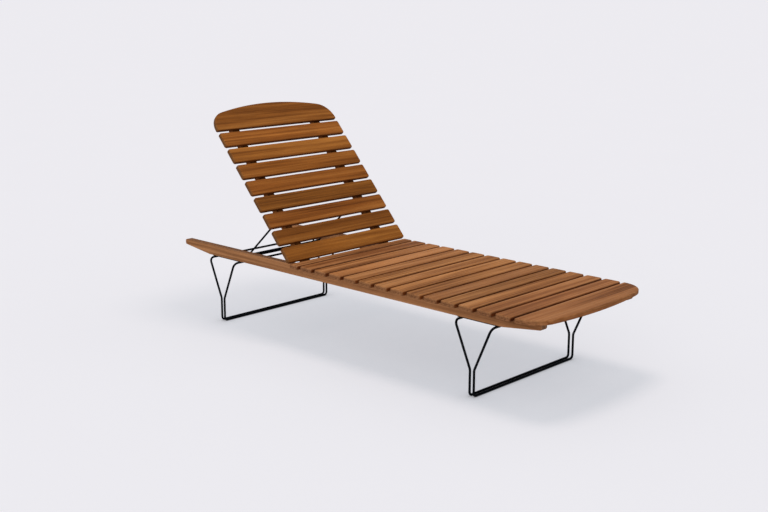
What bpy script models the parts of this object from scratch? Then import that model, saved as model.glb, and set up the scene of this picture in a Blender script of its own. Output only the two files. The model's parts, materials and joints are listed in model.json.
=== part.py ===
"""Sun lounger: a slatted wooden deck with a reclining backrest on two leg frames of bent rod.

Metres, +Z up. X runs across the lounger, Y along it with the foot end at -Y and the head end
at +Y. The floor is Z = 0, and X = 0, Y = 0 is the middle of the plan. The sitter's right is -X.
"""

import math

import bmesh
import bpy
from mathutils import Matrix, Vector

# Start from an empty file
for leftover in list(bpy.data.objects):
    bpy.data.objects.remove(leftover)

# Slats
slat_length = 0.682
slat_width = 0.0686
slat_gap = 0.0130
slat_thickness = 0.0180
slat_arris = 0.0050
slat_corner_radius = 0.0090
bowed_slat_back_radius = 0.0060
hinge_slat_width = 0.0485
full_seat_slats = 13
foot_slat_depth = 0.1269
foot_bow = 0.0356
foot_corner_radius = 0.1023
full_back_slats = 8
head_slat_depth = 0.1188
head_bow = 0.0451
head_corner_radius = 0.0836

# Side rails
seat_height = 0.339
rail_inset = 0.056
rail_thickness = 0.032
rail_depth = 0.0436
rail_nose_depth = 0.0225
rail_nose_radius = 0.0080
rail_arris = 0.0020
rail_foot_setback = 0.0517
rail_head_reach = 0.7515
rail_taper_margin = 0.0200

# Backrest and its hinge
back_angle = math.radians(48.85)
hinge_setback = 0.0047
hinge_to_back = 0.0248
batten_width = 0.037
batten_thickness = 0.025
batten_side_clearance = 0.0015
batten_head_setback = 0.059
batten_arris = 0.0020
pin_radius = 0.0050
pin_depth_in_rail = 0.0225
pin_hole_bottom = 0.0010
washer_radius = 0.0100
washer_bore_clearance = 0.0003

# Prop
rod_radius = 0.0040
prop_pivot_reach = 0.2601
prop_length = 0.3178
prop_side_clearance = 0.0030
prop_shoulder_radius = 0.0065
prop_corner_radius = 0.0150
prop_depth_in_batten = 0.0190
prop_rod_clearance = 0.0002
catch_depth_in_rail = 0.0210

# Leg frames
leg_overhang = 0.0200
leg_half_spread = 0.0827
leg_half_pair = 0.0094
leg_kink_height = 0.1010
leg_top_radius = 0.0200
leg_floor_radius = 0.0130
leg_kink_radius = 0.0300
head_leg_offset = 0.0635
foot_leg_setback = 0.3294
plate_thickness = 0.0030
plate_width = 0.0260
plate_end_margin = 0.0100
plate_corner_radius = 0.0040
plate_arris = 0.0006
screw_half_spacing = 0.0400
screw_radius = 0.0021
screw_length = 0.0220
screw_head_radius = 0.0045
screw_head_height = 0.0022

# Fits
seat_gap = 0.0003
running_gap = 0.0001
cutter_overshoot = 0.0100

# Shapes of round and bent pieces
circle_sides = 32
bend_step = math.radians(15)
small_corner_step = math.radians(30)

# Places along the deck, from the gap between the first two seat slats
pitch = slat_width + slat_gap
hinge_from_gap = slat_gap / 2 + hinge_slat_width + hinge_setback
foot_from_gap = -(full_seat_slats * pitch + slat_gap / 2 + foot_slat_depth)
head_from_gap = hinge_from_gap + rail_head_reach
gap_y = -(foot_from_gap + head_from_gap) / 2
foot_y = gap_y + foot_from_gap
hinge_y = gap_y + hinge_from_gap

# Levels
rail_top_z = seat_height - slat_thickness - seat_gap
rail_bottom_z = rail_top_z - rail_depth
hinge_depth = slat_thickness + seat_gap + batten_thickness / 2
hinge_z = seat_height - hinge_depth
plate_top_z = rail_bottom_z - seat_gap
plate_bottom_z = plate_top_z - plate_thickness
crossbar_z = plate_bottom_z - seat_gap - rod_radius
catch_z = rail_bottom_z + seat_gap + rod_radius

# Places across the deck
rail_outer_x = slat_length / 2 - rail_inset
rail_inner_x = rail_outer_x - rail_thickness
rail_middle_x = rail_outer_x - rail_thickness / 2
batten_outer_x = rail_inner_x - batten_side_clearance
batten_inner_x = batten_outer_x - batten_width
leg_x = rail_outer_x + leg_overhang
prop_x = batten_inner_x - prop_side_clearance - rod_radius

# The prop lands on the catch rod, and swings level as the backrest goes down flat
prop_pivot_y = hinge_y + prop_pivot_reach * math.cos(back_angle)
prop_pivot_z = hinge_z + prop_pivot_reach * math.sin(back_angle)
rod_spacing = 2 * rod_radius + prop_rod_clearance
prop_drop = prop_pivot_z - (catch_z + rod_spacing)
prop_run = math.sqrt(prop_length ** 2 - prop_drop ** 2)
prop_angle = math.atan2(prop_drop, prop_run)
prop_turn_share = prop_angle / back_angle
slide_y = prop_pivot_reach * math.sin(back_angle) + prop_turn_share * prop_drop
slide_z = prop_turn_share * prop_run - prop_pivot_reach * math.cos(back_angle)
catch_y = prop_pivot_y + prop_run + rod_spacing * slide_z / slide_y

# Leg frames along the deck
head_leg_y = catch_y + head_leg_offset
foot_leg_y = foot_y + foot_leg_setback
plate_half_length = leg_half_spread + plate_end_margin

lounger = bpy.data.collections.new("sun_lounger")
bpy.context.scene.collection.children.link(lounger)
cutters = bpy.data.collections.new("cutters")
bpy.context.scene.collection.children.link(cutters)


def material(name, colour, roughness, metallic):
    """A Principled material of one colour."""
    made = bpy.data.materials.new(name)
    made.use_nodes = True
    shader = made.node_tree.nodes["Principled BSDF"]
    shader.inputs["Base Color"].default_value = (*colour, 1.0)
    shader.inputs["Roughness"].default_value = roughness
    shader.inputs["Metallic"].default_value = metallic
    return made


seat_wood = material("seat_wood", (0.305, 0.127, 0.053), 0.55, 0.0)
back_wood = material("back_wood", (0.275, 0.102, 0.028), 0.55, 0.0)
frame_wood = material("frame_wood", (0.270, 0.106, 0.045), 0.60, 0.0)
black_steel = material("black_steel", (0.010, 0.011, 0.013), 0.40, 0.6)
plain_steel = material("plain_steel", (0.450, 0.450, 0.460), 0.35, 1.0)


def rounded_path(corners, arc_step=bend_step):
    """Points round a closed run of (point, bend radius) corners, with an arc at each bend."""
    path = []
    for index, (corner, radius) in enumerate(corners):
        corner = Vector(corner)
        if radius == 0:
            path.append(corner)
            continue
        to_last = (Vector(corners[index - 1][0]) - corner).normalized()
        to_next = (Vector(corners[(index + 1) % len(corners)][0]) - corner).normalized()
        half_angle = to_last.angle(to_next) / 2
        centre = corner + (to_last + to_next).normalized() * radius / math.sin(half_angle)
        spoke = corner + to_last * radius / math.tan(half_angle) - centre
        axis = to_next.cross(to_last)
        sweep = math.pi - 2 * half_angle
        steps = max(2, math.ceil(sweep / arc_step - 0.001))
        for step in range(steps + 1):
            path.append(centre + Matrix.Rotation(sweep * step / steps, 3, axis) @ spoke)
    return path


def flat_outline(corners, arc_step=bend_step):
    """The same run in two dimensions, for corners given as (a, b, bend radius)."""
    path = rounded_path([((a, b, 0), radius) for a, b, radius in corners], arc_step)
    return [(point.x, point.y) for point in path]


def circle_outline(radius):
    """A circle about the origin."""
    turns = [2 * math.pi * side / circle_sides for side in range(circle_sides)]
    return [(radius * math.cos(turn), radius * math.sin(turn)) for turn in turns]


def bowed_outline(depth, bow, corner_radius):
    """A slat's outline, straight along b = 0 and bowed along b = depth, with round corners."""
    half = slat_length / 2
    low, high = 0.0, half
    for _ in range(50):
        touch = (low + high) / 2
        lean = math.atan(2 * bow * touch / half ** 2)
        if touch - corner_radius * math.sin(lean) < half - corner_radius:
            low = touch
        else:
            high = touch
    centre_a = half - corner_radius
    centre_b = depth - bow * (touch / half) ** 2 - corner_radius * math.cos(lean)
    right_side = []
    for step in range(3):
        turn = small_corner_step * step - math.pi / 2
        right_side.append((half - bowed_slat_back_radius * (1 - math.cos(turn)),
                           bowed_slat_back_radius * (1 + math.sin(turn))))
    arc_steps = 10
    for step in range(arc_steps):
        turn = (math.pi / 2 - lean) * step / arc_steps
        right_side.append((centre_a + corner_radius * math.cos(turn),
                           centre_b + corner_radius * math.sin(turn)))
    bow_steps = 12
    for step in range(bow_steps):
        across = touch * (1 - step / bow_steps)
        right_side.append((across, depth - bow * (across / half) ** 2))
    left_side = [(-a, b) for a, b in reversed(right_side)]
    return right_side + [(0.0, depth)] + left_side


def extruded_mesh(name, outline, low, high, along):
    """A solid with this outline from low to high along X (outline in Y, Z) or Z (in X, Y)."""
    shape = bmesh.new()
    ends = []
    for level in (low, high):
        points = [(level, a, b) if along == "X" else (a, b, level) for a, b in outline]
        corners = [shape.verts.new(point) for point in points]
        ends.append(corners)
        shape.faces.new(corners)
    for index in range(len(outline)):
        after = (index + 1) % len(outline)
        shape.faces.new((ends[0][index], ends[0][after], ends[1][after], ends[1][index]))
    bmesh.ops.recalc_face_normals(shape, faces=shape.faces)
    mesh = bpy.data.meshes.new(name)
    shape.to_mesh(mesh)
    shape.free()
    return mesh


def solid(name, mesh, surface, place=(0, 0, 0), parent=None, arris=0.0):
    """One named piece of the lounger, with rounded arrises where they are asked for."""
    piece = bpy.data.objects.new(name, mesh)
    lounger.objects.link(piece)
    piece.location = place
    piece.parent = parent
    mesh.materials.append(surface)
    mesh.shade_smooth()
    mesh.set_sharp_from_angle(angle=math.radians(35))
    if arris:
        edge = piece.modifiers.new("arris", "BEVEL")
        edge.width = arris
        edge.segments = 2
        edge.limit_method = "ANGLE"
        edge.angle_limit = math.radians(40)
    return piece


def cut(piece, name, outline, low, high, along, place=(0, 0, 0), parent=None):
    """Cuts an extruded shape out of a piece."""
    cutter = bpy.data.objects.new(name, extruded_mesh(name, outline, low, high, along))
    cutters.objects.link(cutter)
    cutter.location = place
    cutter.parent = parent
    cutter.hide_render = True
    cutter.display_type = "WIRE"
    hole = piece.modifiers.new(name, "BOOLEAN")
    hole.operation = "DIFFERENCE"
    hole.solver = "EXACT"
    hole.object = cutter


def bent_rod(name, path, closed, place, parent=None):
    """A round rod along a path."""
    curve = bpy.data.curves.new(name, "CURVE")
    curve.dimensions = "3D"
    curve.bevel_depth = rod_radius
    curve.bevel_resolution = 3
    curve.use_fill_caps = not closed
    run = curve.splines.new("POLY")
    run.points.add(len(path) - 1)
    for point, where in zip(run.points, path):
        point.co = (*where, 1.0)
    run.use_cyclic_u = closed
    run.use_smooth = True
    curve.materials.append(black_steel)
    rod = bpy.data.objects.new(name, curve)
    lounger.objects.link(rod)
    rod.location = place
    rod.parent = parent
    return rod


def straight_slat(name, width, surface, place, parent=None):
    """A slat with its top face at its own Z = 0 and its foot edge at its own Y = 0."""
    half = slat_length / 2
    outline = flat_outline([
        (-half, 0.0, slat_corner_radius),
        (half, 0.0, slat_corner_radius),
        (half, width, slat_corner_radius),
        (-half, width, slat_corner_radius),
    ], small_corner_step)
    mesh = extruded_mesh(name, outline, -slat_thickness, 0.0, "Z")
    return solid(name, mesh, surface, place, parent, slat_arris)


# Seat slats, from the hinge to the foot
straight_slat("seat_slat_01", hinge_slat_width, seat_wood,
              (0, gap_y + slat_gap / 2, seat_height))
for number in range(2, full_seat_slats + 2):
    straight_slat(f"seat_slat_{number:02d}", slat_width, seat_wood,
                  (0, gap_y - (number - 1) * pitch + slat_gap / 2, seat_height))
foot_name = f"seat_slat_{full_seat_slats + 2:02d}"
foot_mesh = extruded_mesh(foot_name, bowed_outline(foot_slat_depth, foot_bow, foot_corner_radius),
                          -slat_thickness, 0.0, "Z")
foot_slat = solid(foot_name, foot_mesh, seat_wood, (0, foot_y + foot_slat_depth, seat_height),
                  arris=slat_arris)
foot_slat.rotation_euler = (0, 0, math.pi)

# Side rails, with a taper under each end
head_taper_y = head_leg_y + plate_half_length + rail_taper_margin
foot_taper_y = foot_leg_y - plate_half_length - rail_taper_margin
rail_head_y = hinge_y + rail_head_reach
rail_foot_y = foot_y + rail_foot_setback
rail_outline = flat_outline([
    (rail_foot_y, 0.0, rail_nose_radius),
    (rail_foot_y, -rail_nose_depth, rail_nose_radius),
    (foot_taper_y, -rail_depth, rail_nose_radius),
    (head_taper_y, -rail_depth, rail_nose_radius),
    (rail_head_y, -rail_nose_depth, rail_nose_radius),
    (rail_head_y, 0.0, rail_nose_radius),
])
for side, sign in (("right", -1), ("left", 1)):
    rail_name = f"{side}_rail"
    rail_mesh = extruded_mesh(rail_name, rail_outline, -rail_thickness / 2, rail_thickness / 2, "X")
    rail = solid(rail_name, rail_mesh, frame_wood, (sign * rail_middle_x, 0, rail_top_z),
                 arris=rail_arris)

    # Blind hole for the pivot pin, from the inner face
    inner_ends = sorted((sign * (rail_inner_x - cutter_overshoot),
                         sign * (rail_inner_x + pin_depth_in_rail + pin_hole_bottom)))
    cut(rail, f"{side}_rail_pin_hole", circle_outline(pin_radius + running_gap), *inner_ends, "X",
        (0, hinge_y, hinge_z))

    # Groove for the catch rod, open at the bottom, where the leg plate closes it
    groove_radius = rod_radius + seat_gap
    groove = [(groove_radius, -groove_radius - cutter_overshoot)]
    groove += [(groove_radius * math.cos(turn), groove_radius * math.sin(turn))
               for turn in (math.pi * step / 16 for step in range(17))]
    groove += [(-groove_radius, -groove_radius - cutter_overshoot)]
    groove_ends = sorted((sign * (rail_inner_x - cutter_overshoot),
                          sign * (rail_inner_x + catch_depth_in_rail + pin_hole_bottom)))
    cut(rail, f"{side}_rail_catch_groove", groove, *groove_ends, "X", (0, catch_y, catch_z))

    # Leg plates, each held to the rail by two screws
    for end, leg_y in (("rear", head_leg_y), ("front", foot_leg_y)):
        plate_name = f"{end}_leg_plate_{side}"
        plate_outline = flat_outline([
            (-plate_width / 2, -plate_half_length, plate_corner_radius),
            (plate_width / 2, -plate_half_length, plate_corner_radius),
            (plate_width / 2, plate_half_length, plate_corner_radius),
            (-plate_width / 2, plate_half_length, plate_corner_radius),
        ], small_corner_step)
        plate_mesh = extruded_mesh(plate_name, plate_outline, -plate_thickness, 0.0, "Z")
        plate = solid(plate_name, plate_mesh, black_steel, (sign * rail_middle_x, leg_y, plate_top_z),
                      arris=plate_arris)
        for number, along in ((1, -screw_half_spacing), (2, screw_half_spacing)):
            screw_place = (sign * rail_middle_x, leg_y + along, plate_bottom_z)
            hole_name = f"{plate_name}_hole_{number}"
            screw_hole = circle_outline(screw_radius + seat_gap)
            cut(plate, hole_name, screw_hole, -cutter_overshoot, cutter_overshoot, "Z", screw_place)
            cut(rail, f"rail_{hole_name}", screw_hole, -cutter_overshoot,
                screw_length + pin_hole_bottom, "Z", screw_place)

            # Pan-head screw, turned about its own axis
            screw_name = f"{end}_plate_screw_{side}_{number}"
            profile = [
                (0.0, -seat_gap - screw_head_height),
                (0.6 * screw_head_radius, -seat_gap - screw_head_height),
                (screw_head_radius, -seat_gap - 0.4 * screw_head_height),
                (screw_head_radius, -seat_gap),
                (screw_radius, -seat_gap),
                (screw_radius, screw_length - screw_radius),
                (0.0, screw_length),
            ]
            screw_mesh = bpy.data.meshes.new(screw_name)
            turned = bmesh.new()
            ring = [turned.verts.new((radius, 0.0, height)) for radius, height in profile]
            line = [turned.edges.new(pair) for pair in zip(ring, ring[1:])]
            bmesh.ops.spin(turned, geom=ring + line, axis=(0, 0, 1), cent=(0, 0, 0),
                           angle=2 * math.pi, steps=12, use_merge=True)
            bmesh.ops.remove_doubles(turned, verts=turned.verts, dist=0.00001)
            bmesh.ops.recalc_face_normals(turned, faces=turned.faces)
            turned.to_mesh(screw_mesh)
            turned.free()
            solid(screw_name, screw_mesh, plain_steel, screw_place)

# Catch rod, across the rails
catch_half = rail_inner_x + catch_depth_in_rail
bent_rod("catch_rod", [(-catch_half, 0, 0), (catch_half, 0, 0)], False, (0, catch_y, catch_z))

# Backrest, hung on an empty that stands on the hinge axis and leans with it
backrest = bpy.data.objects.new("backrest_hinge", None)
lounger.objects.link(backrest)
backrest.empty_display_size = 0.05
backrest.location = (0, hinge_y, hinge_z)
backrest.rotation_euler = (back_angle, 0, 0)

for step in range(full_back_slats):
    straight_slat(f"back_slat_{full_back_slats + 1 - step:02d}", slat_width, back_wood,
                  (0, hinge_to_back + step * pitch, hinge_depth), backrest)
head_slat_y = hinge_to_back + full_back_slats * pitch
head_mesh = extruded_mesh("back_slat_01", bowed_outline(head_slat_depth, head_bow, head_corner_radius),
                          -slat_thickness, 0.0, "Z")
solid("back_slat_01", head_mesh, back_wood, (0, head_slat_y, hinge_depth), backrest, slat_arris)

# Battens, round at the hinge end, bored for the pivot pin and for the prop
half_batten = batten_thickness / 2
batten_head_y = head_slat_y + head_slat_depth - batten_head_setback
batten_outline = [(half_batten * math.cos(turn), half_batten * math.sin(turn))
                  for turn in (math.pi / 2 + math.pi * step / 16 for step in range(17))]
batten_outline += [(batten_head_y, -half_batten), (batten_head_y, half_batten)]
for side, sign in (("right", -1), ("left", 1)):
    batten_name = f"back_batten_{side}"
    batten_mesh = extruded_mesh(batten_name, batten_outline, -batten_width / 2, batten_width / 2, "X")
    batten_middle_x = sign * (batten_inner_x + batten_width / 2)
    batten = solid(batten_name, batten_mesh, frame_wood, (batten_middle_x, 0, 0), backrest,
                   batten_arris)
    cut(batten, f"{batten_name}_pin_hole", circle_outline(pin_radius + running_gap),
        -batten_width, batten_width, "X", (batten_middle_x, 0, 0), backrest)
    prop_hole_ends = sorted((sign * (batten_inner_x - cutter_overshoot),
                             sign * (batten_inner_x + prop_depth_in_batten + pin_hole_bottom)))
    cut(batten, f"{batten_name}_prop_hole", circle_outline(rod_radius + running_gap),
        *prop_hole_ends, "X", (0, prop_pivot_reach, 0), backrest)

    # Pivot pin, fast in the rail, and the washer between rail and batten
    pin_name = f"pivot_pin_{side}"
    pin_ends = sorted((sign * (batten_inner_x + seat_gap), sign * (rail_inner_x + pin_depth_in_rail)))
    pin_mesh = extruded_mesh(pin_name, circle_outline(pin_radius), *pin_ends, "X")
    solid(pin_name, pin_mesh, plain_steel, (0, hinge_y, hinge_z))
    washer_name = f"pivot_washer_{side}"
    washer_ends = sorted((sign * (batten_outer_x + seat_gap), sign * (rail_inner_x - seat_gap)))
    washer_mesh = extruded_mesh(washer_name, circle_outline(washer_radius), *washer_ends, "X")
    washer = solid(washer_name, washer_mesh, plain_steel, (0, hinge_y, hinge_z))
    cut(washer, f"{washer_name}_bore", circle_outline(pin_radius + washer_bore_clearance),
        *sorted((sign * (batten_outer_x - cutter_overshoot), sign * (rail_inner_x + cutter_overshoot))),
        "X", (0, hinge_y, hinge_z))

# Prop: a U of rod, its ends turned outwards into the battens
prop_end_x = batten_inner_x + prop_depth_in_batten
prop_path = rounded_path([
    ((-prop_end_x, 0, 0), 0),
    ((-prop_x, 0, 0), prop_shoulder_radius),
    ((-prop_x, prop_length, 0), prop_corner_radius),
    ((prop_x, prop_length, 0), prop_corner_radius),
    ((prop_x, 0, 0), prop_shoulder_radius),
    ((prop_end_x, 0, 0), 0),
])
prop = bent_rod("prop_bail", prop_path, False, (0, prop_pivot_reach, 0), backrest)
prop.rotation_euler = (-(back_angle + prop_angle), 0, 0)

# Leg frames: two closed hoops each, apart under the rails and side by side on the floor
for end, leg_y in (("rear", head_leg_y), ("front", foot_leg_y)):
    for place, sign in (("back", 1), ("front", -1)):
        pair_y = sign * leg_half_pair
        spread_y = sign * leg_half_spread
        hoop_path = rounded_path([
            ((-leg_x, pair_y, rod_radius), leg_floor_radius),
            ((leg_x, pair_y, rod_radius), leg_floor_radius),
            ((leg_x, pair_y, leg_kink_height), leg_kink_radius),
            ((leg_x, spread_y, crossbar_z), leg_top_radius),
            ((-leg_x, spread_y, crossbar_z), leg_top_radius),
            ((-leg_x, pair_y, leg_kink_height), leg_kink_radius),
        ])
        bent_rod(f"{end}_leg_hoop_{place}", hoop_path, True, (0, leg_y, 0))
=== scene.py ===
"""Looks of the slatted sun lounger: wood boards, bent black rod, screws, floor, light and camera.

Metres, +Z up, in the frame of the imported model: X runs across the lounger, Y along it with the
foot end at -Y. Each board is made flat in its own a, b, c, with its grain along a.
"""

import json
import math

import bmesh
import bpy
from mathutils import Euler, Matrix, Vector


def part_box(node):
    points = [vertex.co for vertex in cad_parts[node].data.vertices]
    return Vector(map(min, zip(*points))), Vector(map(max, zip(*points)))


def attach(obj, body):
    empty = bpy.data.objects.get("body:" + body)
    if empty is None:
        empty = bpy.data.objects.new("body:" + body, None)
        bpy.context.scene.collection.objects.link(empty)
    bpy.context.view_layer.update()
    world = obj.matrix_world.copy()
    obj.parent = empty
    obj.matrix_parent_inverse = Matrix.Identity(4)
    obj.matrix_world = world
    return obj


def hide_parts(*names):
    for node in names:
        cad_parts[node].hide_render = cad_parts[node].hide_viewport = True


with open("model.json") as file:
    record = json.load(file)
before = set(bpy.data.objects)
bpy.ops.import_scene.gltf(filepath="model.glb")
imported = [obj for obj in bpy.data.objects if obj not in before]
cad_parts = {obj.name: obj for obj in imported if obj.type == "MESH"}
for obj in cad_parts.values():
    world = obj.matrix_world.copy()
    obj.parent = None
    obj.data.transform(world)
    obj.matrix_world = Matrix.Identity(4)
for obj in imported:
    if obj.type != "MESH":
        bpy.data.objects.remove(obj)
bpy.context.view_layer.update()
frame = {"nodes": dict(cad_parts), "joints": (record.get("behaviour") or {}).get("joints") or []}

# Slats
slat_length = 0.682
slat_width = 0.0686
slat_pitch = 0.0816
slat_thickness = 0.0180
slat_corner_radius = 0.0090
slat_arris = 0.0050
hinge_slat_width = 0.0485
straight_seat_slats = 13
foot_slat_depth = 0.1269
foot_bow = 0.0356
foot_corner_radius = 0.1023
straight_back_slats = 8
head_slat_depth = 0.1188
head_bow = 0.0451
head_corner_radius = 0.0836
bowed_slat_back_radius = 0.0060
seat_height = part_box("seat_slat_02")[1].z
hinge_slat_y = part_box("seat_slat_01")[0].y
last_straight_slat_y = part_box("seat_slat_14")[0].y
foot_slat_edge_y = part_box("seat_slat_15")[1].y

# Backrest: u runs up it from the hinge axis, w stands out of its front
back_lean = math.radians(48.85)
hinge = Vector(frame["joints"][0]["pos_m"])
first_back_slat_u = 0.0248
head_slat_u = first_back_slat_u + straight_back_slats * slat_pitch
back_front_w = 0.0308
batten_width = 0.037
batten_thickness = 0.025
batten_inner_x = 0.2145
batten_head_gap = 0.059
batten_head_u = head_slat_u + head_slat_depth - batten_head_gap

# Rails
rail_outer_x = 0.285
rail_thickness = 0.032
rail_foot_y, rail_bottom_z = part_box("left_rail")[0].yz
rail_head_y, rail_top_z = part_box("left_rail")[1].yz
rail_head_taper = 0.1689
rail_foot_taper = 0.1650
rail_nose_depth = 0.0225
rail_nose_radius = 0.0080
rail_arris = 0.0020

# Bent rod. The leg hoops are drawn 1 mm thicker than their solids, as they look in the photo
rod_radius = 0.0040
hoop_radius = 0.0045
rear_leg_y = sum(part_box("rear_leg_plate_left"), Vector()).y / 2
front_leg_y = sum(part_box("front_leg_plate_left"), Vector()).y / 2
plate_bottom_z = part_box("rear_leg_plate_left")[0].z
leg_x = 0.305
leg_half_spread = 0.0827
leg_half_pair = 0.0094
leg_crossbar_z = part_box("rear_leg_hoop_back")[1].z - rod_radius
leg_kink_height = 0.1010
leg_top_radius = 0.0200
leg_floor_radius = 0.0130
leg_kink_radius = 0.0300
prop_pivot_u = 0.2601
prop_x = 0.2075
prop_end_x = 0.2335
prop_length = 0.3178
prop_slope = math.radians(42.439)
prop_shoulder_radius = 0.0065
prop_corner_radius = 0.0150
catch_y, catch_z = (sum(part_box("catch_rod"), Vector()) / 2).yz
catch_half_length = 0.274

# Camera
camera_place = Vector((-3.29395, -3.08384, 1.39724))
camera_right = Vector((0.68919293, -0.72457493, 0.00206817))
camera_up = Vector((0.16170026, 0.15658528, 0.97433776))
camera_back = Vector((-0.70630456, -0.67117228, 0.22508142))
focal_pixels = 1139.52
photo_width = 768


def node(tree, kind, inputs=(), **settings):
    """Adds a node. Each input is a number, a colour, a vector or another node's output."""
    made = tree.nodes.new(kind)
    for name, value in settings.items():
        setattr(made, name, value)
    for key, value in dict(inputs).items():
        if isinstance(value, bpy.types.NodeSocket):
            tree.links.new(value, made.inputs[key])
        else:
            made.inputs[key].default_value = value
    return made


def new_group(name, kind, inputs, outputs):
    """A node group with named inputs and outputs, its input node and its output node."""
    tree = bpy.data.node_groups.new(name, kind)
    for label, socket_type, value in inputs:
        socket = tree.interface.new_socket(label, in_out="INPUT", socket_type=socket_type)
        if value is not None:
            socket.default_value = value
    for label, socket_type in outputs:
        tree.interface.new_socket(label, in_out="OUTPUT", socket_type=socket_type)
    return tree, tree.nodes.new("NodeGroupInput"), tree.nodes.new("NodeGroupOutput")


def math_of(tree, operation, first, second=0.0):
    """The value of a Math node."""
    return node(tree, "ShaderNodeMath", {0: first, 1: second}, operation=operation).outputs[0]


def span(tree, value, low, high, to_low=0.0, to_high=1.0):
    """A value carried from one range to another, held at its ends."""
    return node(tree, "ShaderNodeMapRange",
                {0: value, 1: low, 2: high, 3: to_low, 4: to_high}).outputs[0]


def blend_colours(tree, amount, first, second, how="MIX"):
    """One colour mixed with another."""
    return node(tree, "ShaderNodeMix", {0: amount, 6: first, 7: second},
                data_type="RGBA", blend_type=how).outputs[2]


def stretched(tree, place, along, across, depth):
    """A place scaled by its own amount along each direction, for long-drawn patterns."""
    return node(tree, "ShaderNodeVectorMath", {0: place, 1: (along, across, depth)},
                operation="MULTIPLY").outputs[0]


def noise(tree, place, scale, detail=2.0, roughness=0.5, distortion=0.0):
    """The value of a noise texture."""
    return node(tree, "ShaderNodeTexNoise",
                {"Vector": place, "Scale": scale, "Detail": detail, "Roughness": roughness,
                 "Distortion": distortion}).outputs["Fac"]


# Shader groups


def wood_grain_group():
    """Oiled hardwood: long figure, fine streaks, pores and a tone of its own for each board."""
    tree, given, result = new_group(
        "wood_grain", "ShaderNodeTree",
        [("Place", "NodeSocketVector", None), ("Board", "NodeSocketFloat", 0.5),
         ("Light", "NodeSocketColor", None), ("Middle", "NodeSocketColor", None),
         ("Dark", "NodeSocketColor", None), ("Figure", "NodeSocketFloat", 1.0)],
        [("Colour", "NodeSocketColor"), ("Roughness", "NodeSocketFloat"),
         ("Height", "NodeSocketFloat")])
    board = given.outputs["Board"]
    shift = node(tree, "ShaderNodeCombineXYZ", {
        0: math_of(tree, "MULTIPLY", board, 37.0),
        1: math_of(tree, "MULTIPLY", board, 91.0),
        2: math_of(tree, "MULTIPLY", board, 53.0)}).outputs[0]
    place = node(tree, "ShaderNodeVectorMath", {0: given.outputs["Place"], 1: shift}).outputs[0]

    figure = noise(tree, stretched(tree, place, 1.1, 24.0, 24.0), 1.0, 3.0, 0.55, 0.35)
    bands = noise(tree, stretched(tree, place, 1.6, 110.0, 70.0), 1.0, 3.0, 0.6, 0.5)
    streaks = noise(tree, stretched(tree, place, 4.5, 420.0, 260.0), 1.0, 2.0, 0.6)
    fibres = noise(tree, stretched(tree, place, 26.0, 1500.0, 1100.0), 1.0, 1.0, 0.5)
    pores = noise(tree, stretched(tree, place, 60.0, 1700.0, 1200.0), 1.0, 0.0, 0.5)
    mottle = noise(tree, place, 9.0, 2.0, 0.5)

    lie = math_of(tree, "ADD", math_of(tree, "MULTIPLY", figure, 0.50),
                  math_of(tree, "MULTIPLY", bands, 0.50))
    off_middle = math_of(tree, "SUBTRACT", lie, 0.5)
    lie = math_of(tree, "ADD", math_of(tree, "MULTIPLY", off_middle, given.outputs["Figure"]), 0.5)
    darker = span(tree, lie, 0.50, 0.68)
    lighter = span(tree, lie, 0.50, 0.34)
    colour = blend_colours(tree, darker, given.outputs["Middle"], given.outputs["Dark"])
    colour = blend_colours(tree, lighter, colour, given.outputs["Light"])
    streak_tone = span(tree, streaks, 0.30, 0.70, 0.86, 1.12)
    fibre_tone = span(tree, fibres, 0.25, 0.75, 0.93, 1.06)
    pore_tone = span(tree, pores, 0.62, 0.72, 1.0, 0.80)
    mottle_tone = span(tree, mottle, 0.30, 0.70, 0.95, 1.05)
    tone = math_of(tree, "MULTIPLY", streak_tone, fibre_tone)
    tone = math_of(tree, "MULTIPLY", tone, pore_tone)
    tone = math_of(tree, "MULTIPLY", tone, mottle_tone)
    board_hue = span(tree, noise(tree, shift, 0.77, 0.0), 0.3, 0.7, 0.4970, 0.5030)
    board_value = span(tree, math_of(tree, "FRACT", math_of(tree, "MULTIPLY", board, 13.7)),
                       0.0, 1.0, 0.84, 1.16)
    colour = node(tree, "ShaderNodeHueSaturation", {
        "Hue": board_hue, "Saturation": 1.0, "Value": math_of(tree, "MULTIPLY", tone, board_value),
        "Fac": 1.0, "Color": colour}).outputs[0]
    tree.links.new(colour, result.inputs["Colour"])
    tree.links.new(span(tree, streaks, 0.3, 0.7, 0.56, 0.72), result.inputs["Roughness"])
    height = math_of(tree, "SUBTRACT",
                     math_of(tree, "ADD", math_of(tree, "MULTIPLY", streaks, 0.5),
                             math_of(tree, "MULTIPLY", fibres, 0.5)),
                     span(tree, pores, 0.60, 0.72, 0.0, 0.6))
    tree.links.new(height, result.inputs["Height"])
    return tree


def end_grain_group():
    """Darkens and greys a board where its end shows, with rings across the cut."""
    tree, given, result = new_group(
        "end_grain", "ShaderNodeTree",
        [("Colour", "NodeSocketColor", None), ("Place", "NodeSocketVector", None),
         ("End", "NodeSocketFloat", 0.0), ("Cut Colour", "NodeSocketColor", None)],
        [("Colour", "NodeSocketColor")])
    drawn_out = stretched(tree, given.outputs["Place"], 5.0, 90.0, 190.0)
    rings = noise(tree, drawn_out, 1.0, 3.0, 0.7, 0.8)
    ringed = blend_colours(tree, span(tree, rings, 0.42, 0.60, 0.0, 0.85),
                           given.outputs["Cut Colour"], (0.060, 0.026, 0.012, 1.0))
    colour = blend_colours(tree, math_of(tree, "MULTIPLY", given.outputs["End"], 0.75),
                           given.outputs["Colour"], ringed)
    tree.links.new(colour, result.inputs["Colour"])
    return tree


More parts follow.
